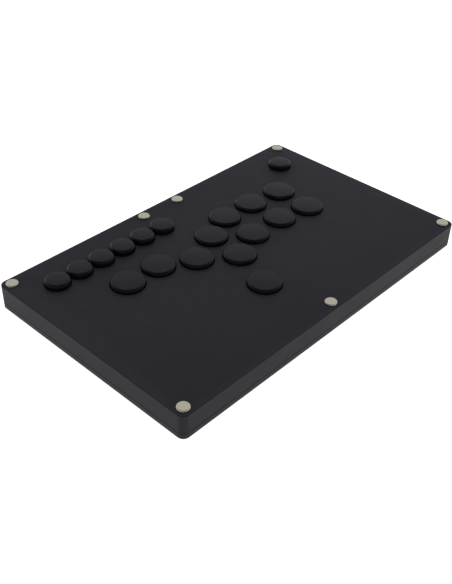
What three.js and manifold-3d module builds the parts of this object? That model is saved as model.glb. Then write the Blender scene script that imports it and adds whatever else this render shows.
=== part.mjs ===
// A leverless arcade controller: a flat two-shell case with nineteen round push caps, each on a low-profile
// keyswitch, a circuit board, a USB-C socket in the back wall, seven binding posts and four rubber feet.
// Millimetres. X runs to the player's right, Y away from the player, Z up. The origin is on the surface that
// the feet stand on, below the middle of the case.
import * as THREE from "three";
import { mergeVertices } from "three/addons/utils/BufferGeometryUtils.js";
import Module from "manifold-3d";

const wasm = await Module();
wasm.setup();

// ---- Driving dimensions ----

// The case, seen from above and from the side.
const CASE_LENGTH = 290;
const CASE_DEPTH = 180;
const CORNER_RADIUS = 5;
const SMALLEST_CORNER = 1.5;
const FOOT_STAND = 1.5;
const PLATE_THICKNESS = 4.8;
const CASE_HEIGHT = 19.2;
const WALL = 3;
const SKIN = 3;
const EDGE_ROUND = 1;
const SEAM_WIDTH = 0.3;
const SEAM_DEPTH = 0.3;
const LIP_THICKNESS = 1.5;
const LIP_HEIGHT = 1.5;

// Between two faces that meet, and beside a piece that slides or drops in.
const TOUCH_GAP = 0.1;
const CAP_CLEARANCE = 0.3;
const BARREL_CLEARANCE = 0.15;
const DROP_IN_GAP = 0.2;

// How far a solid reaches into one it joins, and past one it cuts.
const BITE = 1;
const CUT = 10;

// The circuit board and what it stands on.
const BOARD_THICKNESS = 1.6;
const BOARD_LIFT = 2.8;
const BOARD_HALF_LENGTH = 128;
const BOARD_FRONT = -52;
const BOARD_BACK = 76.5;
const BOARD_TAB_HALF_WIDTH = 8.5;
const BOARD_TAB_BACK = 86;
const STANDOFF_RADIUS = 3;
const PEG_RADIUS = 1.3;

// The keyswitch, measured up from the board, and how far its stem travels.
const SWITCH_BODY = 13.8;
const SWITCH_FLANGE = 15;
const SWITCH_LID = 13.4;
const SWITCH_FLANGE_LEVEL = 2.2;
const SWITCH_FLANGE_THICKNESS = 0.8;
const SWITCH_HEIGHT = 5;
const SWITCH_PEG_RADIUS = 1.6;
const STEM_WIDTH = 10.2;
const STEM_DEPTH = 4.6;
const STEM_PLAY = 0.8;
const STEM_BITE = 0.5;
const WELL_FLOOR = 1;
const TRAVEL = 3;

// The caps: the large ones are for play, the small ones for the menus.
const LARGE_CAP = { radius: 12.25, rise: 3.4, sides: 24 };
const SMALL_CAP = { radius: 9.05, rise: 4.5, sides: 20 };
const CAP_WALL = 1.3;
const CAP_TOP = 1.6;
const CAP_EDGE = 1.6;
const CAP_EDGE_MIDDLE = 0.47;

// Binding posts with a smooth flat head, closed by a screw from below.
const POST_INSET = 6.8;
const PORT_POST_X = 17.5;
const HEAD_RADIUS = 4.4;
const HEAD_HEIGHT = 1.1;
const HEAD_RIM = 0.5;
const HEAD_FLAT = 3.6;
const BARREL_RADIUS = 2.5;
const BARREL_BORE = 1.8;
const BORE_DEPTH = 10;
const BOSS_RADIUS = 5.5;
const SCREW_RADIUS = 1.7;
const SCREW_HEAD_RADIUS = 3.7;
const SCREW_HEAD_HEIGHT = 1.5;
const SCREW_REACH = 8;
const CROSS_LENGTH = 4.2;
const CROSS_WIDTH = 0.9;
const CROSS_DEPTH = 0.9;
const COUNTERBORE_RADIUS = 4.2;
const COUNTERBORE_DEPTH = 1.8;

// Rubber feet, let a little way into the bottom plate.
const FOOT_RADIUS = 6;
const FOOT_RECESS = 0.5;
const FOOT_EDGE = 0.6;
const FOOT_X = 122;
const FOOT_Y = 68;

// The USB-C socket, lying on the board behind a slot in the back wall.
const USB_WIDTH = 8.94;
const USB_HEIGHT = 3.26;
const USB_LENGTH = 7.3;
const USB_SHEET = 0.35;
const USB_SETBACK = 0.8;
const USB_SLOT_MARGIN = 0.4;
const USB_BACK_WALL = 1;
const TONGUE_WIDTH = 6.7;
const TONGUE_THICKNESS = 0.7;
const TONGUE_SETBACK = 1.1;
const SLOT_FLAT = 0.02;

// How many sides the round pieces have.
const CORNER_STEPS = 4;
const ROUNDING_STEPS = 2;
const FOOT_SIDES = 16;
const MEDIUM_SIDES = 12;
const SMALL_SIDES = 8;
const PEG_SIDES = 6;

// ---- Levels worked out from them ----

const PLATE_TOP = FOOT_STAND + PLATE_THICKNESS;
const SHELL_BOTTOM = PLATE_TOP + TOUCH_GAP;
const CASE_TOP = FOOT_STAND + CASE_HEIGHT;
const SKIN_UNDERSIDE = CASE_TOP - SKIN;
const BOARD_BOTTOM = PLATE_TOP + BOARD_LIFT;
const BOARD_TOP = BOARD_BOTTOM + BOARD_THICKNESS;
const SWITCH_BOTTOM = BOARD_TOP + TOUCH_GAP / 2;
const SWITCH_TOP = BOARD_TOP + SWITCH_HEIGHT;
const SKIRT_BOTTOM = SWITCH_TOP + TRAVEL + CAP_CLEARANCE;
const STEM_WELL_FLOOR = BOARD_TOP + WELL_FLOOR;
const USB_CENTRE_Z = BOARD_TOP + TOUCH_GAP / 2 + USB_HEIGHT / 2;
const USB_MOUTH_Y = CASE_DEPTH / 2 - USB_SETBACK;

// ---- Places ----

// The six menu caps stand in a row along the back edge, and a seventh near the back right corner.
const MENU_ROW = { x: -116.1, y: 61.75, pitch: 19.4, count: 6 };
const LAST_MENU_CAP = { x: 116.3, y: 61.75 };

// Direction caps for the left hand, with the jump cap under the thumbs.
const DIRECTIONS = {
  left: [-82.5, 27.9],
  down: [-54.4, 27.5],
  right: [-29.1, 14.5],
  up: [-16.1, -38.1],
};

// Two curved rows of four action caps follow the right hand's fingers.
const ACTION_UPPER_ROW = [
  [-1.5, 27.1],
  [24.2, 37.9],
  [53.1, 37.5],
  [82.9, 34],
];
const ACTION_LOWER_ROW = [
  [-3.9, -3.5],
  [22.8, 7.9],
  [53.4, 8],
  [81.5, 3.8],
];

const BUTTONS = [];
for (const [name, [x, y]] of Object.entries(DIRECTIONS)) BUTTONS.push({ name, x, y, cap: LARGE_CAP });
[...ACTION_UPPER_ROW, ...ACTION_LOWER_ROW].forEach(([x, y], i) =>
  BUTTONS.push({ name: `action_${i + 1}`, x, y, cap: LARGE_CAP }),
);
for (let i = 0; i < MENU_ROW.count; i++)
  BUTTONS.push({ name: `menu_${i + 1}`, x: MENU_ROW.x + i * MENU_ROW.pitch, y: MENU_ROW.y, cap: SMALL_CAP });
BUTTONS.push({ name: `menu_${MENU_ROW.count + 1}`, ...LAST_MENU_CAP, cap: SMALL_CAP });

const POST_X = CASE_LENGTH / 2 - POST_INSET;
const POST_Y = CASE_DEPTH / 2 - POST_INSET;
const POSTS = {
  back_left: [-POST_X, POST_Y],
  port_left: [-PORT_POST_X, POST_Y],
  port_right: [PORT_POST_X, POST_Y],
  back_right: [POST_X, POST_Y],
  front_left: [-POST_X, -POST_Y],
  front_middle: [0, -POST_Y],
  front_right: [POST_X, -POST_Y],
};

const FEET = {
  back_left: [-FOOT_X, FOOT_Y],
  back_right: [FOOT_X, FOOT_Y],
  front_left: [-FOOT_X, -FOOT_Y],
  front_right: [FOOT_X, -FOOT_Y],
};

// The board is pinched between pegged standoffs on the bottom plate and pillars under the top skin.
const STANDOFFS = [
  [-122, -46],
  [-60, -46],
  [40, -46],
  [122, -46],
  [-122, 40],
  [-20, 41],
  [40, 62],
  [122, 30],
];

// ---- Geometry helpers ----

// A closed three.js geometry as a manifold-3d solid.
function solid(geometry) {
  const bare = new THREE.BufferGeometry();
  bare.setAttribute("position", geometry.getAttribute("position"));
  if (geometry.index) bare.setIndex(geometry.index);
  const merged = mergeVertices(bare, 1e-4);
  const mesh = new wasm.Mesh({
    numProp: 3,
    vertProperties: new Float32Array(merged.attributes.position.array),
    triVerts: new Uint32Array(merged.index.array),
  });
  return new wasm.Manifold(mesh);
}

// A manifold-3d solid as a three.js geometry with flat shading.
function geometryOf(body) {
  const mesh = body.getMesh();
  const geometry = new THREE.BufferGeometry();
  geometry.setAttribute("position", new THREE.BufferAttribute(mesh.vertProperties, 3));
  geometry.setIndex(new THREE.BufferAttribute(mesh.triVerts, 1));
  const flat = geometry.toNonIndexed();
  flat.computeVertexNormals();
  return flat;
}

// An upright cylinder between two levels.
function rod(radius, low, high, sides, x = 0, y = 0) {
  const geometry = new THREE.CylinderGeometry(radius, radius, high - low, sides);
  geometry.rotateX(Math.PI / 2);
  geometry.translate(x, y, (low + high) / 2);
  return solid(geometry);
}

// A box centred on x and y, between two levels.
function block(width, depth, low, high, x = 0, y = 0) {
  const geometry = new THREE.BoxGeometry(width, depth, high - low);
  geometry.translate(x, y, (low + high) / 2);
  return solid(geometry);
}

// A flat outline raised between two levels.
function raise(shape, low, high) {
  const geometry = new THREE.ExtrudeGeometry(shape, {
    depth: high - low,
    bevelEnabled: false,
    curveSegments: CORNER_STEPS,
  });
  geometry.translate(0, 0, low);
  return solid(geometry);
}

// The same, with both of its rims rounded by the same radius.
function raiseRounded(shape, low, high, round) {
  const geometry = new THREE.ExtrudeGeometry(shape, {
    depth: high - low - 2 * round,
    bevelThickness: round,
    bevelSize: round,
    bevelOffset: -round,
    bevelSegments: ROUNDING_STEPS,
    curveSegments: CORNER_STEPS,
  });
  geometry.translate(0, 0, low + round);
  return solid(geometry);
}

// A turned piece: [radius, z] points from the axis round the outline and back to the axis.
function turned(profile, sides) {
  const geometry = new THREE.LatheGeometry(
    profile.map(([r, z]) => new THREE.Vector2(r, z)),
    sides,
  );
  geometry.rotateX(Math.PI / 2);
  return solid(geometry);
}

// A rectangle with round corners, centred on the origin.
function roundedRectangle(width, depth, radius) {
  const x = width / 2;
  const y = depth / 2;
  const shape = new THREE.Shape();
  shape.moveTo(x, y - radius);
  shape.absarc(x - radius, y - radius, radius, 0, Math.PI / 2);
  shape.absarc(radius - x, y - radius, radius, Math.PI / 2, Math.PI);
  shape.absarc(radius - x, radius - y, radius, Math.PI, 1.5 * Math.PI);
  shape.absarc(x - radius, radius - y, radius, 1.5 * Math.PI, 2 * Math.PI);
  return shape;
}

// The case's outline, drawn in by an inset that its corners follow.
function caseOutline(inset) {
  const radius = Math.max(CORNER_RADIUS - inset, SMALLEST_CORNER);
  return roundedRectangle(CASE_LENGTH - 2 * inset, CASE_DEPTH - 2 * inset, radius);
}

// ---- Materials ----

const material = (color, roughness, metalness = 0) =>
  new THREE.MeshStandardMaterial({ color, roughness, metalness });
const CASE_BLACK = material(0x232326, 0.55);
const CAP_BLACK = material(0x262629, 0.6);
const NICKEL = material(0xb8b5a8, 0.3, 1);
const SCREW_STEEL = material(0x9a9a9c, 0.35, 1);
const RUBBER = material(0x151515, 0.9);
const BOARD_BLACK = material(0x14211b, 0.5);
const SWITCH_BLACK = material(0x1a1a1c, 0.45);
const SHEET_STEEL = material(0xc4c6c8, 0.3, 1);

const panel = new THREE.Group();

function add(name, body, finish, x = 0, y = 0) {
  const mesh = new THREE.Mesh(geometryOf(body), finish);
  mesh.name = name;
  mesh.position.set(x, y, 0);
  panel.add(mesh);
}

// ---- The case ----

// The upper shell: a skin pierced for the caps, four walls that step in above their lower rim to leave a
// shadow line, post bosses, and pillars that press on the board.
function topShell() {
  let shell = raiseRounded(caseOutline(0), 0, CASE_TOP, EDGE_ROUND);
  shell = shell.subtract(raise(caseOutline(WALL), -CUT, SKIN_UNDERSIDE));
  for (const [x, y] of Object.values(POSTS))
    shell = shell.add(rod(BOSS_RADIUS, FOOT_STAND, SKIN_UNDERSIDE + BITE, MEDIUM_SIDES, x, y));
  const seamSurround = block(CASE_LENGTH + CUT, CASE_DEPTH + CUT, -CUT, SHELL_BOTTOM + SEAM_WIDTH);
  shell = shell.subtract(seamSurround.subtract(raise(caseOutline(SEAM_DEPTH), -2 * CUT, CASE_TOP)));
  shell = shell.subtract(block(CASE_LENGTH + CUT, CASE_DEPTH + CUT, -CUT, SHELL_BOTTOM));
  for (const [x, y] of Object.values(POSTS))
    shell = shell.subtract(rod(BARREL_RADIUS + BARREL_CLEARANCE, 0, CASE_TOP + CUT, MEDIUM_SIDES, x, y));
  for (const [x, y] of STANDOFFS)
    shell = shell.add(rod(STANDOFF_RADIUS, BOARD_TOP + TOUCH_GAP, SKIN_UNDERSIDE + BITE, SMALL_SIDES, x, y));
  for (const { x, y, cap } of BUTTONS) {
    const holeRadius = cap.radius + CAP_CLEARANCE;
    shell = shell.subtract(rod(holeRadius, SKIN_UNDERSIDE - BITE, CASE_TOP + CUT, cap.sides, x, y));
  }
  return shell.subtract(usbOutline(USB_SLOT_MARGIN, CASE_DEPTH / 2 - WALL - BITE, CASE_DEPTH / 2 + CUT));
}

// The bottom plate: rounded lower edge, a lip that centres the shell, standoffs, counterbores, foot recesses.
function bottomPlate() {
  let plate = raiseRounded(caseOutline(0), FOOT_STAND, PLATE_TOP + CUT, EDGE_ROUND);
  plate = plate.subtract(block(CASE_LENGTH + CUT, CASE_DEPTH + CUT, PLATE_TOP, PLATE_TOP + 2 * CUT));
  const lipOutside = raise(caseOutline(WALL + DROP_IN_GAP), PLATE_TOP - BITE, PLATE_TOP + LIP_HEIGHT);
  const lipInside = caseOutline(WALL + DROP_IN_GAP + LIP_THICKNESS);
  let lip = lipOutside.subtract(raise(lipInside, PLATE_TOP - CUT, PLATE_TOP + CUT));
  for (const [x, y] of Object.values(POSTS))
    lip = lip.subtract(rod(BOSS_RADIUS + DROP_IN_GAP, PLATE_TOP, PLATE_TOP + CUT, MEDIUM_SIDES, x, y));
  plate = plate.add(lip);
  for (const [x, y] of STANDOFFS) {
    plate = plate.add(rod(STANDOFF_RADIUS, PLATE_TOP - BITE, BOARD_BOTTOM - TOUCH_GAP, SMALL_SIDES, x, y));
    plate = plate.add(rod(PEG_RADIUS, PLATE_TOP, BOARD_TOP - TOUCH_GAP, PEG_SIDES, x, y));
  }
  for (const [x, y] of Object.values(POSTS)) {
    plate = plate.subtract(rod(COUNTERBORE_RADIUS, 0, FOOT_STAND + COUNTERBORE_DEPTH, MEDIUM_SIDES, x, y));
    plate = plate.subtract(rod(SCREW_RADIUS + DROP_IN_GAP, 0, PLATE_TOP + CUT, SMALL_SIDES, x, y));
  }
  for (const [x, y] of Object.values(FEET))
    plate = plate.subtract(rod(FOOT_RADIUS + DROP_IN_GAP, 0, FOOT_STAND + FOOT_RECESS, FOOT_SIDES, x, y));
  return plate;
}

// ---- Fastenings and feet ----

// A barrel with a thin flat head on the skin and a blind bore from below.
function bindingPost() {
  const seat = CASE_TOP + TOUCH_GAP / 2;
  const end = PLATE_TOP + 2 * TOUCH_GAP;
  const profile = [
    [0, end + BORE_DEPTH],
    [BARREL_BORE, end + BORE_DEPTH],
    [BARREL_BORE, end],
    [BARREL_RADIUS, end],
    [BARREL_RADIUS, seat],
    [HEAD_RADIUS, seat],
    [HEAD_RADIUS, seat + HEAD_RIM],
    [HEAD_FLAT, seat + HEAD_HEIGHT],
    [0, seat + HEAD_HEIGHT],
  ];
  return turned(profile, MEDIUM_SIDES);
}

// A flat-headed screw with a cross recess, let into the bottom plate and reaching up the barrel.
function postScrew() {
  const headTop = FOOT_STAND + COUNTERBORE_DEPTH - TOUCH_GAP / 2;
  const headBottom = headTop - SCREW_HEAD_HEIGHT;
  const recessTop = headBottom + CROSS_DEPTH;
  const shank = rod(SCREW_RADIUS, headTop - TOUCH_GAP, PLATE_TOP + SCREW_REACH, SMALL_SIDES);
  const cross = block(CROSS_LENGTH, CROSS_WIDTH, headBottom - CUT, recessTop).add(
    block(CROSS_WIDTH, CROSS_LENGTH, headBottom - CUT, recessTop),
  );
  return rod(SCREW_HEAD_RADIUS, headBottom, headTop, MEDIUM_SIDES).add(shank).subtract(cross);
}

function rubberFoot() {
  const top = FOOT_STAND + FOOT_RECESS - TOUCH_GAP / 2;
  const profile = [
    [0, 0],
    [FOOT_RADIUS - FOOT_EDGE, 0],
    [FOOT_RADIUS, FOOT_EDGE],
    [FOOT_RADIUS, top],
    [0, top],
  ];
  return turned(profile, FOOT_SIDES);
}

// ---- The electronics ----

function mainBoard() {
  const outline = new THREE.Shape();
  outline.moveTo(-BOARD_HALF_LENGTH, BOARD_FRONT);
  outline.lineTo(BOARD_HALF_LENGTH, BOARD_FRONT);
  outline.lineTo(BOARD_HALF_LENGTH, BOARD_BACK);
  outline.lineTo(BOARD_TAB_HALF_WIDTH, BOARD_BACK);
  outline.lineTo(BOARD_TAB_HALF_WIDTH, BOARD_TAB_BACK);
  outline.lineTo(-BOARD_TAB_HALF_WIDTH, BOARD_TAB_BACK);
  outline.lineTo(-BOARD_TAB_HALF_WIDTH, BOARD_BACK);
  outline.lineTo(-BOARD_HALF_LENGTH, BOARD_BACK);
  outline.closePath();
  let board = raise(outline, BOARD_BOTTOM, BOARD_TOP);
  for (const [x, y] of STANDOFFS)
    board = board.subtract(rod(PEG_RADIUS + DROP_IN_GAP, 0, CASE_TOP, PEG_SIDES, x, y));
  for (const { x, y } of BUTTONS)
    board = board.subtract(rod(SWITCH_PEG_RADIUS + DROP_IN_GAP, 0, CASE_TOP, PEG_SIDES, x, y));
  return board;
}

// A low-profile keyswitch housing: base, flange, lid with a well for the stem, and a peg through the board.
function keyswitch() {
  const flangeLow = BOARD_TOP + SWITCH_FLANGE_LEVEL;
  const flangeHigh = flangeLow + SWITCH_FLANGE_THICKNESS;
  return block(SWITCH_BODY, SWITCH_BODY, SWITCH_BOTTOM, flangeLow + TOUCH_GAP)
    .add(block(SWITCH_FLANGE, SWITCH_FLANGE, flangeLow, flangeHigh))
    .add(block(SWITCH_LID, SWITCH_LID, flangeHigh - TOUCH_GAP, SWITCH_TOP))
    .add(rod(SWITCH_PEG_RADIUS, BOARD_BOTTOM + DROP_IN_GAP, STEM_WELL_FLOOR - TOUCH_GAP, PEG_SIDES))
    .subtract(block(STEM_WIDTH + STEM_PLAY, STEM_DEPTH + STEM_PLAY, STEM_WELL_FLOOR, SWITCH_TOP + CUT));
}

// A solid along Y with the slot shape of the USB-C outline, grown by a margin.
function usbOutline(margin, front, back) {
  const height = USB_HEIGHT + 2 * margin;
  const shape = roundedRectangle(USB_WIDTH + 2 * margin, height, height / 2 - SLOT_FLAT);
  const geometry = new THREE.ExtrudeGeometry(shape, {
    depth: back - front,
    bevelEnabled: false,
    curveSegments: CORNER_STEPS,
  });
  geometry.rotateX(Math.PI / 2);
  geometry.translate(0, back, USB_CENTRE_Z);
  return solid(geometry);
}

// The socket's steel sleeve, closed behind, with the contact tongue standing in its mouth.
function usbSocket() {
  const back = USB_MOUTH_Y - USB_LENGTH;
  const tongueLength = USB_LENGTH - TONGUE_SETBACK - DROP_IN_GAP;
  const tongue = new THREE.BoxGeometry(TONGUE_WIDTH, tongueLength, TONGUE_THICKNESS);
  tongue.translate(0, back + DROP_IN_GAP + tongueLength / 2, USB_CENTRE_Z);
  return usbOutline(0, back, USB_MOUTH_Y)
    .subtract(usbOutline(-USB_SHEET, back + USB_BACK_WALL, USB_MOUTH_Y + CUT))
    .add(solid(tongue));
}

// ---- The caps ----

// A hollow round cap, in one with the switch stem that it is pressed onto.
function capWithStem({ radius, rise, sides }) {
  const top = CASE_TOP + rise;
  const inside = radius - CAP_WALL;
  const profile = [
    [0, top - CAP_TOP],
    [inside, top - CAP_TOP],
    [inside, SKIRT_BOTTOM],
    [radius, SKIRT_BOTTOM],
    [radius, top - CAP_EDGE],
    [radius - CAP_EDGE_MIDDLE, top - CAP_EDGE_MIDDLE],
    [radius - CAP_EDGE, top],
    [0, top],
  ];
  const stemLow = STEM_WELL_FLOOR + TRAVEL + DROP_IN_GAP;
  const stem = block(STEM_WIDTH, STEM_DEPTH, stemLow, top - CAP_TOP + STEM_BITE);
  return turned(profile, sides).add(stem);
}

// ---- Assembly ----

add("top_shell", topShell(), CASE_BLACK);
add("bottom_plate", bottomPlate(), CASE_BLACK);
add("main_board", mainBoard(), BOARD_BLACK);
add("usb_socket", usbSocket(), SHEET_STEEL);

const postBody = bindingPost();
const screwBody = postScrew();
for (const [place, [x, y]] of Object.entries(POSTS)) {
  add(`post_${place}`, postBody, NICKEL, x, y);
  add(`screw_${place}`, screwBody, SCREW_STEEL, x, y);
}

const footBody = rubberFoot();
for (const [place, [x, y]] of Object.entries(FEET)) add(`foot_${place}`, footBody, RUBBER, x, y);

const switchBody = keyswitch();
const capBodies = new Map([LARGE_CAP, SMALL_CAP].map((cap) => [cap, capWithStem(cap)]));
for (const { name, x, y, cap } of BUTTONS) {
  add(`switch_${name}`, switchBody, SWITCH_BLACK, x, y);
  add(`cap_${name}`, capBodies.get(cap), CAP_BLACK, x, y);
}

export default panel;
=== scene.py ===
"""Looks for the leverless arcade controller: its fine meshes, materials, floor, light and camera."""
import math

import bmesh
import bpy
from mathutils import Matrix, Vector
from mathutils.geometry import delaunay_2d_cdt


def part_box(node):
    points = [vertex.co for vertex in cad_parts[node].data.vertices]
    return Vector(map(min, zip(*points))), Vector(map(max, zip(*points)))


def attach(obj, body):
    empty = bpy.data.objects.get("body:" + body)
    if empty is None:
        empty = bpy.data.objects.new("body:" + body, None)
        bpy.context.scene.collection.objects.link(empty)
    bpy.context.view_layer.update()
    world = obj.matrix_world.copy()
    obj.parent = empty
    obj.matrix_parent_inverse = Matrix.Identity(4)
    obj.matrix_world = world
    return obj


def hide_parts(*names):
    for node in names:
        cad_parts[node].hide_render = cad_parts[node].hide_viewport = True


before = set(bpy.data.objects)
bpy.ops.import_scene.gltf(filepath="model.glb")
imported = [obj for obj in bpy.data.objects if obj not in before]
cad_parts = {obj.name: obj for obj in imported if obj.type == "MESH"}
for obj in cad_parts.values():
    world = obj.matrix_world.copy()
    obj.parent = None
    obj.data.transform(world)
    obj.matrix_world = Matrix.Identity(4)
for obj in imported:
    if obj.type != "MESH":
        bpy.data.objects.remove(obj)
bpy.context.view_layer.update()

MM = 0.001
CASE = "case"
POSTS = [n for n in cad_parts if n.startswith("post_")]
SCREWS = [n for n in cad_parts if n.startswith("screw_")]
FEET = [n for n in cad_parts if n.startswith("foot_")]
CAPS = [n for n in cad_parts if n.startswith("cap_")]
SWITCHES = [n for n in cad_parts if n.startswith("switch_")]

# The case. A pair is a radius and a depth.
CORNER_RADIUS = 5 * MM
SMALLEST_CORNER = 1.5 * MM
WALL = 3 * MM
SKIN = 3 * MM
TOP_ROUND = 0.7 * MM
BOTTOM_ROUND = 1 * MM
SEAM_WIDTH = 0.25 * MM
SEAM_DEPTH = 0.18 * MM
SEAM_EASE = 0.1 * MM
TOUCH_GAP = 0.1 * MM
HOLE_EASE = 0.25 * MM
CAP_CLEARANCE = 0.3 * MM
BARREL_CLEARANCE = 0.15 * MM
BOSS_WALL = 0.65 * MM
COUNTERBORE = (4.2 * MM, 1.8 * MM)
SCREW_HOLE_RADIUS = 1.9 * MM
FOOT_RECESS = (6.2 * MM, 0.5 * MM)
SOCKET_MARGIN = 0.4 * MM

# The caps, with the eased edge as steps in from the side and down from the top.
CAP_WALL = 1.3 * MM
CAP_THICKNESS = 1.6 * MM
CAP_CROWN = 0.3 * MM
CAP_EDGE = [(in_step * MM, down * MM) for in_step, down in
            ((1.3, 0), (1.18, 0.02), (1.06, 0.09), (0.94, 0.19),
             (0.5, 0.58), (0.28, 0.82), (0.1, 1.15), (0, 1.6))]
SKIRT_DEPTH = 1.7 * MM
STEM_HALF_WIDTH = 5.1 * MM
STEM_HALF_DEPTH = 2.3 * MM
STEM_GAP = 0.02 * MM

# The fastenings, feet and socket.
BARREL_RADIUS = 2.5 * MM
BARREL_BORE = 1.8 * MM
BORE_DEPTH = 10 * MM
HEAD_ROUND = 0.75 * MM
HEAD_SAG = 0.04 * MM
SHANK_RADIUS = 1.7 * MM
SHANK_POINT = 0.6 * MM
CROSS_DEPTH = 0.9 * MM
FOOT_EDGE = 0.6 * MM
SOCKET_SHEET = 0.35 * MM
SOCKET_EASE = 0.1 * MM
TONGUE_HALF_WIDTH = 3.35 * MM
TONGUE_HALF_THICKNESS = 0.35 * MM

# How finely round shapes are drawn.
CORNER_STEPS = 16
ROUND_STEPS = 6
SLOT_STEPS = 10
CAP_SIDES = 96
TURNED_SIDES = 64
SMALL_SIDES = 40

# The floor, light and camera.
FLOOR_HALF = 60.0
# The tent that gives the soft light is open on the side where the camera stands, and dark there.
TENT_OPENING = (-0.68, -0.59, 0.43)
TENT_FADE = (("From Min", -0.2), ("From Max", 0.5), ("To Min", 0.8), ("To Max", 0.2))
# Low down, the tent's wall is as white as the floor all round.
COVE_HEIGHT = (("From Min", 0.12), ("From Max", 0.24), ("To Min", 0.0), ("To Max", 1.0))
COVE_STRENGTH = 1.08
SENSOR_WIDTH = 36
LENS = 52.69
# The camera's place, aim and roll, from the middle of the case's top.
CAMERA_PLACE = (-0.38060, -0.33555, 0.35395)
CAMERA_AIM = (-0.04172, -0.02580, 0)
CAMERA_ROLL = math.radians(1.636)


# ---- Mesh building ----

def arc(centre_r, centre_z, radius, start, end, steps=ROUND_STEPS):
    """Profile points on an arc, with angles in degrees from the outward direction."""
    points = []
    for i in range(steps + 1):
        angle = math.radians(start + (end - start) * i / steps)
        points.append((centre_r + radius * math.cos(angle), centre_z + radius * math.sin(angle)))
    return points


def circle(x, y, radius, z, sides):
    turn = 2 * math.pi / sides
    return [(x + radius * math.cos(i * turn), y + radius * math.sin(i * turn), z) for i in range(sides)]


def within(point, rim):
    """Whether a flat point lies inside a closed rim."""
    inside = False
    for a, b in zip(rim, rim[1:] + rim[:1]):
        if (a.y > point.y) != (b.y > point.y):
            if point.x < a.x + (b.x - a.x) * (point.y - a.y) / (b.y - a.y):
                inside = not inside
    return inside


class Surface:
    """The points and faces of one closed piece, collected loop by loop, with each point's worn share, which
    on the metal heads marks a painted shade ring where they meet the case.
    """

    def __init__(self):
        self.points = []
        self.faces = []
        self.wear_and_seat_shade = []

    def loop(self, points, wear_and_seat_shade=0.0):
        first = len(self.points)
        self.points += points
        self.wear_and_seat_shade += [wear_and_seat_shade] * len(points)
        return list(range(first, len(self.points)))

    def bridge(self, a, b, leave_out=None):
        for i in range(len(a)):
            if i != leave_out:
                j = (i + 1) % len(a)
                self.faces.append((a[i], a[j], b[j], b[i]))

    def bridge_all(self, loops, leave_out=None):
        for a, b in zip(loops, loops[1:]):
            self.bridge(a, b, leave_out)

    def fan(self, centre, loop):
        for i in range(len(loop)):
            self.faces.append((centre, loop[i], loop[(i + 1) % len(loop)]))

    def fill(self, outer, holes=(), axes=(0, 1)):
        """A flat face inside the outer loop and around the holes, in the plane of the two axes."""
        used = list(outer)
        edges = [(i, (i + 1) % len(outer)) for i in range(len(outer))]
        for hole in holes:
            start = len(used)
            used += hole
            edges += [(start + i, start + (i + 1) % len(hole)) for i in range(len(hole))]
        flat = [Vector((self.points[i][axes[0]], self.points[i][axes[1]])) for i in used]
        where = dict(zip(used, flat))
        rims = [[where[i] for i in hole] for hole in holes]
        triangles_inside = 1
        result = delaunay_2d_cdt(flat, edges, [], triangles_inside, 1e-9)
        origin = [source[0] for source in result[3]]
        for face in result[2]:
            centre = sum((result[0][i] for i in face), Vector((0, 0))) / len(face)
            if not any(within(centre, rim) for rim in rims):
                self.faces.append(tuple(used[origin[i]] for i in face))

    def turned(self, profile, x=0.0, y=0.0, sides=SMALL_SIDES):
        """A closed turned solid. Its (radius, z) or (radius, z, wear) points start and end on the axis."""
        last = None
        for point in profile:
            radius, z = point[0], point[1]
            wear_and_seat_shade = point[2] if len(point) > 2 else 0.0
            if radius < 1e-9:
                here = self.loop([(x, y, z)], wear_and_seat_shade)
            else:
                here = self.loop(circle(x, y, radius, z, sides), wear_and_seat_shade)
            if last:
                if len(last) == 1:
                    self.fan(last[0], here)
                elif len(here) == 1:
                    self.fan(here[0], last)
                else:
                    self.bridge(last, here)
            last = here

    def block(self, low, high):
        corners = [(x, y, z) for z in (low[2], high[2]) for x, y in
                   ((low[0], low[1]), (high[0], low[1]), (high[0], high[1]), (low[0], high[1]))]
        box = self.loop(corners)
        self.bridge(box[:4], box[4:])
        self.faces.append(tuple(box[:4]))
        self.faces.append(tuple(box[4:]))

    def piece(self, name, material, slot, body, *replaced, smooth_below=32, bevel=0.0):
        """The finished object, riding on its body in place of its CAD nodes."""
        mesh = bpy.data.meshes.new(name)
        mesh.from_pydata(self.points, [], self.faces)
        work = bmesh.new()
        work.from_mesh(mesh)
        bmesh.ops.remove_doubles(work, verts=work.verts, dist=1e-8)
        bmesh.ops.recalc_face_normals(work, faces=work.faces)
        work.to_mesh(mesh)
        work.free()
        if len(mesh.vertices) == len(self.wear_and_seat_shade):
            wear_and_seat_shade = mesh.attributes.new("wear_and_seat_shade", "FLOAT", "POINT")
            wear_and_seat_shade.data.foreach_set("value", self.wear_and_seat_shade)
        mesh.shade_smooth()
        mesh.set_sharp_from_angle(angle=math.radians(smooth_below))
        mesh.materials.append(material)
        obj = bpy.data.objects.new(name, mesh)
        bpy.context.scene.collection.objects.link(obj)
        if bevel:
            rounding = obj.modifiers.new("rounding", "BEVEL")
            rounding.width = bevel
            rounding.segments = 3
            rounding.limit_method = "ANGLE"
        obj.modifiers.new("even shading", "WEIGHTED_NORMAL").keep_sharp = True
        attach(obj, body)
        if replaced:
            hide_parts(*replaced)
        return obj


# ---- Materials ----

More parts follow.
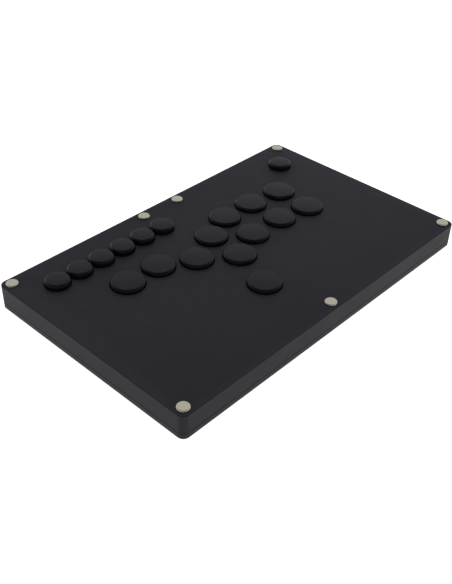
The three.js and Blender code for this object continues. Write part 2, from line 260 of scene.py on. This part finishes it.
class Graph:
    """A node material around one Principled shader, with short ways to add and join nodes."""

    def __init__(self, name):
        self.material = bpy.data.materials.new(name)
        self.material.use_nodes = True
        self.tree = self.material.node_tree
        self.shader = self.tree.nodes["Principled BSDF"]
        self.place = self.node("ShaderNodeTexCoord").outputs["Object"]

    def node(self, kind, inputs=(), **settings):
        node = self.tree.nodes.new(kind)
        for key, value in settings.items():
            setattr(node, key, value)
        for key, value in dict(inputs).items():
            self.put(node.inputs[key], value)
        return node

    def put(self, socket, value):
        if isinstance(value, bpy.types.NodeSocket):
            self.tree.links.new(value, socket)
        else:
            socket.default_value = value

    def set(self, **values):
        for key, value in values.items():
            self.put(self.shader.inputs[key.replace("_", " ")], value)

    def noise(self, size, detail=2.0, roughness=0.5, place=None):
        """Noise whose blobs are about size metres across."""
        inputs = {"Vector": place or self.place, "Scale": 1 / size, "Detail": detail,
                  "Roughness": roughness}
        return self.node("ShaderNodeTexNoise", inputs).outputs["Fac"]

    def cells(self, size):
        """Cells about size metres across: the distance to each one's middle."""
        inputs = {"Vector": self.place, "Scale": 1 / size}
        return self.node("ShaderNodeTexVoronoi", inputs).outputs["Distance"]

    def remap(self, value, low, high, to_low, to_high):
        inputs = {"Value": value, "From Min": low, "From Max": high, "To Min": to_low, "To Max": to_high}
        return self.node("ShaderNodeMapRange", inputs).outputs["Result"]

    def maths(self, operation, a, b):
        node = self.node("ShaderNodeMath", operation=operation)
        self.put(node.inputs[0], a)
        self.put(node.inputs[1], b)
        return node.outputs[0]

    def mix(self, share, a, b):
        node = self.node("ShaderNodeMix", data_type="RGBA")
        self.put(node.inputs[0], share)
        self.put(node.inputs[6], a)
        self.put(node.inputs[7], b)
        return node.outputs[2]

    def wear_and_seat_shade(self):
        return self.node("ShaderNodeAttribute", attribute_name="wear_and_seat_shade").outputs["Fac"]

    def upward(self, low, high, to_low, to_high):
        """A value that follows how far the surface faces up."""
        normal = self.node("ShaderNodeNewGeometry").outputs["Normal"]
        rise = self.node("ShaderNodeSeparateXYZ", {"Vector": normal}).outputs["Z"]
        return self.remap(rise, low, high, to_low, to_high)

    def scale(self, colour, share):
        node = self.node("ShaderNodeVectorMath", operation="SCALE")
        self.put(node.inputs[0], colour)
        self.put(node.inputs["Scale"], share)
        return node.outputs[0]

    def bump(self, height, depth, strength=1.0, under=None):
        inputs = {"Height": height, "Distance": depth, "Strength": strength}
        if under:
            inputs["Normal"] = under
        return self.node("ShaderNodeBump", inputs).outputs["Normal"]


def tint(red, green, blue):
    return (red, green, blue, 1.0)


def moulded_plastic(name, dark, light, worn, roughness, grain, depth, specular=0.5, clean=1.0):
    """Spark-eroded black plastic with fine grain, faint cloudiness and edges rubbed a little lighter and
    smoother. Its sides are painted darker than what faces up by the clean share, as painted shade."""
    g = Graph(name)
    cloud = g.noise(38 * MM, 3)
    speck = g.noise(0.9 * MM, 2)
    tone = g.maths("ADD", g.remap(cloud, 0.3, 0.7, 0, 0.6), g.remap(speck, 0.3, 0.7, 0, 0.4))
    rubbed = g.maths("MULTIPLY", g.wear_and_seat_shade(), g.remap(g.noise(7 * MM, 4, 0.6), 0.35, 0.65, 0.45, 1.0))
    colour = g.mix(rubbed, g.mix(tone, dark, light), worn)
    # Painted shade: what does not face up is darkened to the clean share of its colour, so sides and rounded
    # edges read as if in shade.
    g.set(Base_Color=g.scale(colour, g.upward(0.75, 0.98, clean, 1.0)))
    smear = g.remap(g.noise(16 * MM, 4, 0.6), 0.3, 0.7, roughness - 0.035, roughness + 0.035)
    g.set(Roughness=g.maths("SUBTRACT", smear, g.maths("MULTIPLY", rubbed, 0.08)))
    pits = g.bump(g.cells(grain), depth)
    g.set(Normal=g.bump(g.noise(grain * 2.5, 3, 0.65), depth * 1.5, under=pits))
    g.set(Specular_IOR_Level=specular)
    return g.material


def nickel_plate(name):
    """Warm polished nickel with a faint haze and hairlines, and a painted shade ring where the head meets the
    case.
    """
    g = Graph(name)
    haze = g.noise(1.6 * MM, 4, 0.6)
    stretched = g.node("ShaderNodeMapping", {"Vector": g.place, "Scale": (1.0, 9.0, 1.0)}).outputs["Vector"]
    hairline = g.noise(0.5 * MM, 5, 0.7, stretched)
    clean = g.mix(haze, tint(0.49, 0.475, 0.362), tint(0.545, 0.528, 0.405))
    # Painted shade: the nickel turns to this dark tint in a ring where the head meets the case; clean is the
    # nickel away from that ring.
    g.set(Base_Color=g.mix(g.wear_and_seat_shade(), clean, tint(0.30, 0.28, 0.24)))
    shine = g.maths("ADD", g.remap(haze, 0.3, 0.7, 0.21, 0.29), g.remap(hairline, 0.4, 0.7, 0.0, 0.05))
    g.set(Metallic=1.0, Roughness=shine, Normal=g.bump(hairline, 0.002 * MM, 0.5))
    return g.material


def zinc_steel(name):
    g = Graph(name)
    haze = g.noise(0.8 * MM, 4, 0.6)
    g.set(Base_Color=g.mix(haze, tint(0.40, 0.40, 0.41), tint(0.56, 0.56, 0.57)))
    g.set(Metallic=1.0, Roughness=g.remap(haze, 0.3, 0.7, 0.28, 0.45), Normal=g.bump(haze, 0.004 * MM))
    return g.material


def rubber(name):
    g = Graph(name)
    bloom = g.noise(4 * MM, 4, 0.6)
    g.set(Base_Color=g.mix(bloom, tint(0.012, 0.012, 0.012), tint(0.028, 0.028, 0.027)))
    g.set(Roughness=g.remap(bloom, 0.3, 0.7, 0.72, 0.86), Specular_IOR_Level=0.35)
    g.set(Normal=g.bump(g.noise(0.25 * MM, 3, 0.6), 0.03 * MM))
    return g.material


def solder_mask(name):
    """Dark green lacquer over the board, with copper tracks showing as faint ridges."""
    g = Graph(name)
    inputs = {"Vector": g.place, "Scale": 220.0, "Mortar Size": 0.03}
    tracks = g.node("ShaderNodeTexBrick", inputs).outputs["Fac"]
    g.set(Base_Color=g.mix(tracks, tint(0.006, 0.02, 0.012), tint(0.012, 0.045, 0.026)))
    g.set(Roughness=g.remap(g.noise(9 * MM), 0.3, 0.7, 0.25, 0.36), Normal=g.bump(tracks, 0.03 * MM))
    return g.material


# The clean share is painted shade on the sides: 0.61 of the colour on the case, 0.6 on the caps' sides and
# rounds.
CASE_PLASTIC = moulded_plastic("case_plastic", tint(0.0385, 0.0384, 0.0448), tint(0.0468, 0.0467, 0.0540),
                               tint(0.0530, 0.0528, 0.0600), 0.42, 0.22 * MM, 0.006 * MM, specular=0.045,
                               clean=0.61)
CAP_PLASTIC = moulded_plastic("cap_plastic", tint(0.0084, 0.0088, 0.0136), tint(0.0108, 0.0113, 0.0165),
                              tint(0.0130, 0.0135, 0.0187), 0.33, 0.30 * MM, 0.008 * MM, specular=0.16,
                              clean=0.6)
HOUSING_PLASTIC = moulded_plastic("housing_plastic", tint(0.010, 0.010, 0.011), tint(0.014, 0.014, 0.015),
                                  tint(0.02, 0.02, 0.02), 0.5, 0.2 * MM, 0.005 * MM)
NICKEL = nickel_plate("nickel_plate")
STEEL = zinc_steel("zinc_steel")
RUBBER = rubber("foot_rubber")
BOARD = solder_mask("solder_mask")


# ---- The case ----

shell_low, shell_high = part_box("top_shell")
plate_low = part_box("bottom_plate")[0]
HALF_X = shell_high.x
HALF_Y = shell_high.y
CASE_TOP = shell_high.z
SHELL_BOTTOM = shell_low.z
PLATE_TOP = SHELL_BOTTOM - TOUCH_GAP
PLATE_BOTTOM = plate_low.z


def outline(inset, z):
    """The case's outline at a level, drawn in by an inset that its corners follow."""
    radius = max(CORNER_RADIUS - inset, SMALLEST_CORNER)
    x = HALF_X - inset - radius
    y = HALF_Y - inset - radius
    points = []
    for quarter, (sign_x, sign_y) in enumerate(((1, 1), (-1, 1), (-1, -1), (1, -1))):
        for step in range(CORNER_STEPS + 1):
            angle = math.radians(90 * (quarter + step / CORNER_STEPS))
            points.append((sign_x * x + radius * math.cos(angle), sign_y * y + radius * math.sin(angle), z))
    return points


# The outline's straight stretch along the back edge starts at the last point of its first corner.
BACK_STRETCH = CORNER_STEPS


def middle(node):
    low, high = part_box(node)
    return (low + high) / 2


def slot_outline(centre, width, height, y):
    """A slot with round ends, standing upright in a plane across Y."""
    radius = height / 2
    reach = width / 2 - radius
    points = []
    for side, start in ((1, -90), (-1, 90)):
        for step in range(SLOT_STEPS + 1):
            angle = math.radians(start + 180 * step / SLOT_STEPS)
            x = centre.x + side * reach + radius * math.cos(angle)
            points.append((x, y, centre.z + radius * math.sin(angle)))
    return points


def build_shell():
    s = Surface()
    socket = middle("usb_socket")
    socket_low, socket_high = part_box("usb_socket")
    slot_width = socket_high.x - socket_low.x + 2 * SOCKET_MARGIN
    slot_height = socket_high.z - socket_low.z + 2 * SOCKET_MARGIN

    top_loops = [s.loop(outline(TOP_ROUND - r, z), 0.8) for r, z in
                 arc(0, CASE_TOP - TOP_ROUND, TOP_ROUND, 90, 0)]
    seam_top = SHELL_BOTTOM + SEAM_WIDTH
    side = [top_loops[-1],
            s.loop(outline(0, CASE_TOP - TOP_ROUND - 1.5 * MM)),
            s.loop(outline(0, seam_top + SEAM_EASE + 1 * MM)),
            s.loop(outline(0, seam_top + SEAM_EASE), 0.3),
            s.loop(outline(SEAM_EASE, seam_top), 0.3),
            s.loop(outline(SEAM_DEPTH, seam_top)),
            s.loop(outline(SEAM_DEPTH, SHELL_BOTTOM)),
            s.loop(outline(WALL, SHELL_BOTTOM))]
    inner = [side[-1], s.loop(outline(WALL, SHELL_BOTTOM + 1 * MM)), s.loop(outline(WALL, CASE_TOP - SKIN))]
    s.bridge_all(top_loops)
    s.bridge(side[0], side[1])
    s.bridge(side[1], side[2], BACK_STRETCH)
    s.bridge_all(side[2:])
    s.bridge(inner[0], inner[1])
    s.bridge(inner[1], inner[2], BACK_STRETCH)

    ease = HOLE_EASE
    mouth = [s.loop(slot_outline(socket, slot_width + 2 * ease, slot_height + 2 * ease, HALF_Y), 0.4),
             s.loop(slot_outline(socket, slot_width, slot_height, HALF_Y - ease), 0.2),
             s.loop(slot_outline(socket, slot_width, slot_height, HALF_Y - WALL))]
    s.bridge_all(mouth)
    back = BACK_STRETCH
    s.fill([side[1][back], side[1][back + 1], side[2][back + 1], side[2][back]], [mouth[0]], (0, 2))
    s.fill([inner[1][back], inner[1][back + 1], inner[2][back + 1], inner[2][back]], [mouth[-1]], (0, 2))

    upper_holes = []
    lower_holes = []
    for node in CAPS:
        low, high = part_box(node)
        centre = middle(node)
        radius = (high.x - low.x) / 2 + CAP_CLEARANCE
        rings = [s.loop(circle(centre.x, centre.y, r, z, CAP_SIDES), 0.5) for r, z in
                 arc(radius + ease, CASE_TOP - ease, ease, 90, 180, 3)]
        rings.append(s.loop(circle(centre.x, centre.y, radius, CASE_TOP - SKIN, CAP_SIDES)))
        s.bridge_all(rings)
        upper_holes.append(rings[0])
        lower_holes.append(rings[-1])
    for node in POSTS:
        centre = middle(node)
        bore = BARREL_RADIUS + BARREL_CLEARANCE
        boss = bore + BOSS_WALL
        rings = [s.loop(circle(centre.x, centre.y, r, z, SMALL_SIDES)) for r, z in
                 ((bore, CASE_TOP), (bore, SHELL_BOTTOM), (boss, SHELL_BOTTOM), (boss, CASE_TOP - SKIN))]
        s.bridge_all(rings)
        upper_holes.append(rings[0])
        lower_holes.append(rings[-1])
    s.fill(top_loops[0], upper_holes)
    s.fill(inner[2], lower_holes)
    s.piece("upper_shell_moulding", CASE_PLASTIC, "case", CASE, "top_shell")


def build_plate():
    s = Surface()
    bottom_loops = [s.loop(outline(BOTTOM_ROUND - r, z), 0.8) for r, z in
                    arc(0, PLATE_BOTTOM + BOTTOM_ROUND, BOTTOM_ROUND, -90, 0)]
    side = [bottom_loops[-1],
            s.loop(outline(0, PLATE_TOP - SEAM_EASE), 0.3),
            s.loop(outline(SEAM_EASE, PLATE_TOP), 0.3)]
    s.bridge_all(bottom_loops)
    s.bridge_all(side)
    lower_holes = []
    upper_holes = []
    for node in SCREWS:
        centre = middle(node)
        radius, depth = COUNTERBORE
        rings = [s.loop(circle(centre.x, centre.y, r, z, SMALL_SIDES), wear_and_seat_shade) for r, z, wear_and_seat_shade in
                 ((radius + HOLE_EASE, PLATE_BOTTOM, 0.5), (radius, PLATE_BOTTOM + HOLE_EASE, 0.3),
                  (radius, PLATE_BOTTOM + depth, 0), (SCREW_HOLE_RADIUS, PLATE_BOTTOM + depth, 0),
                  (SCREW_HOLE_RADIUS, PLATE_TOP, 0))]
        s.bridge_all(rings)
        lower_holes.append(rings[0])
        upper_holes.append(rings[-1])
    for node in FEET:
        centre = middle(node)
        radius, depth = FOOT_RECESS
        rings = [s.loop(circle(centre.x, centre.y, radius, z, SMALL_SIDES)) for z in
                 (PLATE_BOTTOM, PLATE_BOTTOM + depth)]
        s.bridge(rings[0], rings[1])
        s.faces.append(tuple(rings[1]))
        lower_holes.append(rings[0])
    s.fill(bottom_loops[0], lower_holes)
    s.fill(side[-1], upper_holes)
    s.piece("bottom_plate_moulding", CASE_PLASTIC, "case", CASE, "bottom_plate")


# ---- Caps and stems ----

def build_cap(node):
    low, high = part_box(node)
    x, y = (low.x + high.x) / 2, (low.y + high.y) / 2
    radius = (high.x - low.x) / 2
    top = high.z
    inside = radius - CAP_WALL
    under = top - CAP_THICKNESS
    skirt = CASE_TOP - SKIRT_DEPTH
    flat = radius - CAP_EDGE[0][0]
    profile = []
    for share in (0, 0.1, 0.2, 0.3, 0.4, 0.5, 0.6, 0.7, 0.8, 0.9, 1):
        profile.append((flat * share, top - CAP_CROWN * share ** 2, 0.5 * (1 - share)))
    edge_top = top - CAP_CROWN
    profile += [(radius - in_step, edge_top - down, 0.4) for in_step, down in CAP_EDGE[1:]]
    profile += [(radius, edge_top - CAP_EDGE[-1][1] - 0.5 * MM, 0), (radius, skirt, 0), (inside, skirt, 0),
                (inside, under, 0), (0, under, 0)]
    s = Surface()
    s.turned(profile, x, y, CAP_SIDES)
    body = "button_" + node.removeprefix("cap_")
    s.piece(node + "_moulding", CAP_PLASTIC, "caps", body, node)
    stem = Surface()
    stem.block((x - STEM_HALF_WIDTH, y - STEM_HALF_DEPTH, low.z),
               (x + STEM_HALF_WIDTH, y + STEM_HALF_DEPTH, under - STEM_GAP))
    stem.piece(node.replace("cap_", "stem_"), HOUSING_PLASTIC, "switch_housing", body, bevel=0.3 * MM)


# ---- Fastenings, feet and socket ----

def build_post(node):
    low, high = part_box(node)
    x, y = (low.x + high.x) / 2, (low.y + high.y) / 2
    radius = (high.x - low.x) / 2
    seat = CASE_TOP + TOUCH_GAP / 2
    flat = radius - HEAD_ROUND
    profile = [(flat * share, high.z - HEAD_SAG * share ** 2) for share in (0, 0.3, 0.6, 0.8, 1)]
    profile += arc(flat, high.z - HEAD_SAG - HEAD_ROUND, HEAD_ROUND, 80, 0, 8)
    # Painted shade: these two points at the seat mark the dark ring where the head meets the case.
    profile += [(radius, seat + 0.1 * MM, 0.6), (radius - 0.1 * MM, seat, 1.0),
                (BARREL_RADIUS, seat), (BARREL_RADIUS, low.z), (BARREL_BORE, low.z),
                (BARREL_BORE, low.z + BORE_DEPTH), (0, low.z + BORE_DEPTH)]
    s = Surface()
    s.turned(profile, x, y, TURNED_SIDES)
    s.piece(node + "_turned", NICKEL, "post_nickel", CASE, node, smooth_below=40)


def build_screw(node):
    low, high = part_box(node)
    x, y = (low.x + high.x) / 2, (low.y + high.y) / 2
    radius = (high.x - low.x) / 2
    head_top = PLATE_BOTTOM + COUNTERBORE[1] - TOUCH_GAP / 2
    s = Surface()
    rings = [s.loop(circle(x, y, r, z, SMALL_SIDES)) for r, z in
             ((radius - 0.35 * MM, low.z), (radius - 0.1 * MM, low.z + 0.1 * MM), (radius, low.z + 0.35 * MM),
              (radius, head_top), (SHANK_RADIUS, head_top), (SHANK_RADIUS, high.z - SHANK_POINT),
              (SHANK_RADIUS - SHANK_POINT, high.z))]
    s.bridge_all(rings)
    s.faces.append(tuple(rings[-1]))
    mouth = s.loop(cross_outline(x, y, 2.1 * MM, 0.45 * MM, low.z))
    floor = s.loop(cross_outline(x, y, 1.3 * MM, 0.3 * MM, low.z + CROSS_DEPTH))
    s.bridge(mouth, floor)
    s.fill(floor)
    s.fill(rings[0], [mouth])
    s.piece(node + "_turned", STEEL, "screw_steel", CASE, node)


def cross_outline(x, y, reach, half_width, z):
    w, r = half_width, reach
    corners = ((r, -w), (r, w), (w, w), (w, r), (-w, r), (-w, w),
               (-r, w), (-r, -w), (-w, -w), (-w, -r), (w, -r), (w, -w))
    return [(x + dx, y + dy, z) for dx, dy in corners]


def build_foot(node):
    low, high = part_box(node)
    x, y = (low.x + high.x) / 2, (low.y + high.y) / 2
    radius = (high.x - low.x) / 2
    flat = radius - FOOT_EDGE
    profile = [(0, low.z), (flat - 1 * MM, low.z)]
    profile += [(r, z, 0.5) for r, z in arc(flat, low.z + FOOT_EDGE, FOOT_EDGE, -90, 0)]
    profile += [(radius, high.z), (0, high.z)]
    s = Surface()
    s.turned(profile, x, y, TURNED_SIDES)
    s.piece(node + "_moulding", RUBBER, "foot_rubber", CASE, node)


def build_socket():
    low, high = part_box("usb_socket")
    centre = (low + high) / 2
    width = high.x - low.x
    height = high.z - low.z
    sheet, ease = SOCKET_SHEET, SOCKET_EASE
    s = Surface()
    loops = [s.loop(slot_outline(centre, width - 2 * inset, height - 2 * inset, y)) for inset, y in
             ((0, low.y), (0, high.y - ease), (ease, high.y), (sheet - ease, high.y),
              (sheet, high.y - ease), (sheet, low.y + 1 * MM))]
    s.bridge_all(loops)
    s.faces.append(tuple(loops[0]))
    s.faces.append(tuple(loops[-1]))
    s.piece("usb_socket_sleeve", STEEL, "socket_steel", CASE, "usb_socket")
    tongue = Surface()
    tongue.block((centre.x - TONGUE_HALF_WIDTH, low.y + 0.5 * MM, centre.z - TONGUE_HALF_THICKNESS),
                 (centre.x + TONGUE_HALF_WIDTH, high.y - 1.3 * MM, centre.z + TONGUE_HALF_THICKNESS))
    tongue.piece("usb_tongue", HOUSING_PLASTIC, "switch_housing", CASE, bevel=0.12 * MM)


def dress(node, material):
    """A CAD node that is shown as it is, with a finished material."""
    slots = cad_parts[node].data.materials
    slots.clear()
    slots.append(material)


build_shell()
build_plate()
for name in CAPS:
    build_cap(name)
for name in POSTS:
    build_post(name)
for name in SCREWS:
    build_screw(name)
for name in FEET:
    build_foot(name)
build_socket()
dress("main_board", BOARD)
for name in SWITCHES:
    dress(name, HOUSING_PLASTIC)


# ---- Floor, light and camera ----

def build_floor():
    """White paper on a light table: it glows evenly, and a little of its white comes from the light above."""
    g = Graph("floor_paper")
    fibre = g.noise(0.4)
    g.set(Base_Color=g.mix(fibre, tint(0.78, 0.78, 0.78), tint(0.82, 0.82, 0.82)), Roughness=0.9)
    g.set(Specular_IOR_Level=0.2)
    g.set(Emission_Color=tint(1, 1, 1), Emission_Strength=g.remap(fibre, 0, 1, 0.98, 1.02))
    mesh = bpy.data.meshes.new("floor")
    half = FLOOR_HALF
    corners = [(-half, -half, 0), (half, -half, 0), (half, half, 0), (-half, half, 0)]
    mesh.from_pydata(corners, [], [(0, 1, 2, 3)])
    mesh.materials.append(g.material)
    floor = bpy.data.objects.new("floor", mesh)
    bpy.context.scene.collection.objects.link(floor)


def build_light():
    world = bpy.data.worlds.new("light_tent")
    world.use_nodes = True
    tree = world.node_tree
    direction = tree.nodes.new("ShaderNodeTexCoord").outputs["Generated"]
    toward_opening = tree.nodes.new("ShaderNodeVectorMath")
    toward_opening.operation = "DOT_PRODUCT"
    toward_opening.inputs[1].default_value = TENT_OPENING
    tree.links.new(direction, toward_opening.inputs[0])
    fade = tree.nodes.new("ShaderNodeMapRange")
    fade.interpolation_type = "SMOOTHSTEP"
    for key, value in TENT_FADE:
        fade.inputs[key].default_value = value
    tree.links.new(toward_opening.outputs["Value"], fade.inputs["Value"])
    height = tree.nodes.new("ShaderNodeSeparateXYZ")
    tree.links.new(direction, height.inputs[0])
    cove = tree.nodes.new("ShaderNodeMapRange")
    cove.interpolation_type = "SMOOTHSTEP"
    for key, value in COVE_HEIGHT:
        cove.inputs[key].default_value = value
    tree.links.new(height.outputs["Z"], cove.inputs["Value"])
    strength = tree.nodes.new("ShaderNodeMix")
    strength.inputs["A"].default_value = COVE_STRENGTH
    tree.links.new(cove.outputs["Result"], strength.inputs["Factor"])
    tree.links.new(fade.outputs["Result"], strength.inputs["B"])
    background = tree.nodes["Background"]
    background.inputs["Color"].default_value = tint(0.95, 0.935, 1.0)
    tree.links.new(strength.outputs["Result"], background.inputs["Strength"])
    bpy.context.scene.world = world
    bpy.context.scene.view_settings.view_transform = "Standard"


def build_camera():
    camera = bpy.data.cameras.new("camera")
    camera.sensor_width = SENSOR_WIDTH
    camera.lens = LENS
    top = Vector((0, 0, CASE_TOP))
    eye = top + Vector(CAMERA_PLACE)
    aim = top + Vector(CAMERA_AIM)
    forward = (aim - eye).normalized()
    level = forward.cross(Vector((0, 0, 1))).normalized()
    lift = level.cross(forward)
    right = level * math.cos(CAMERA_ROLL) + lift * math.sin(CAMERA_ROLL)
    up = lift * math.cos(CAMERA_ROLL) - level * math.sin(CAMERA_ROLL)
    obj = bpy.data.objects.new("camera", camera)
    turn = Matrix((right, up, -forward)).transposed().to_4x4()
    obj.matrix_world = Matrix.Translation(eye) @ turn
    bpy.context.scene.collection.objects.link(obj)
    bpy.context.scene.camera = obj


build_floor()
build_light()
build_camera()
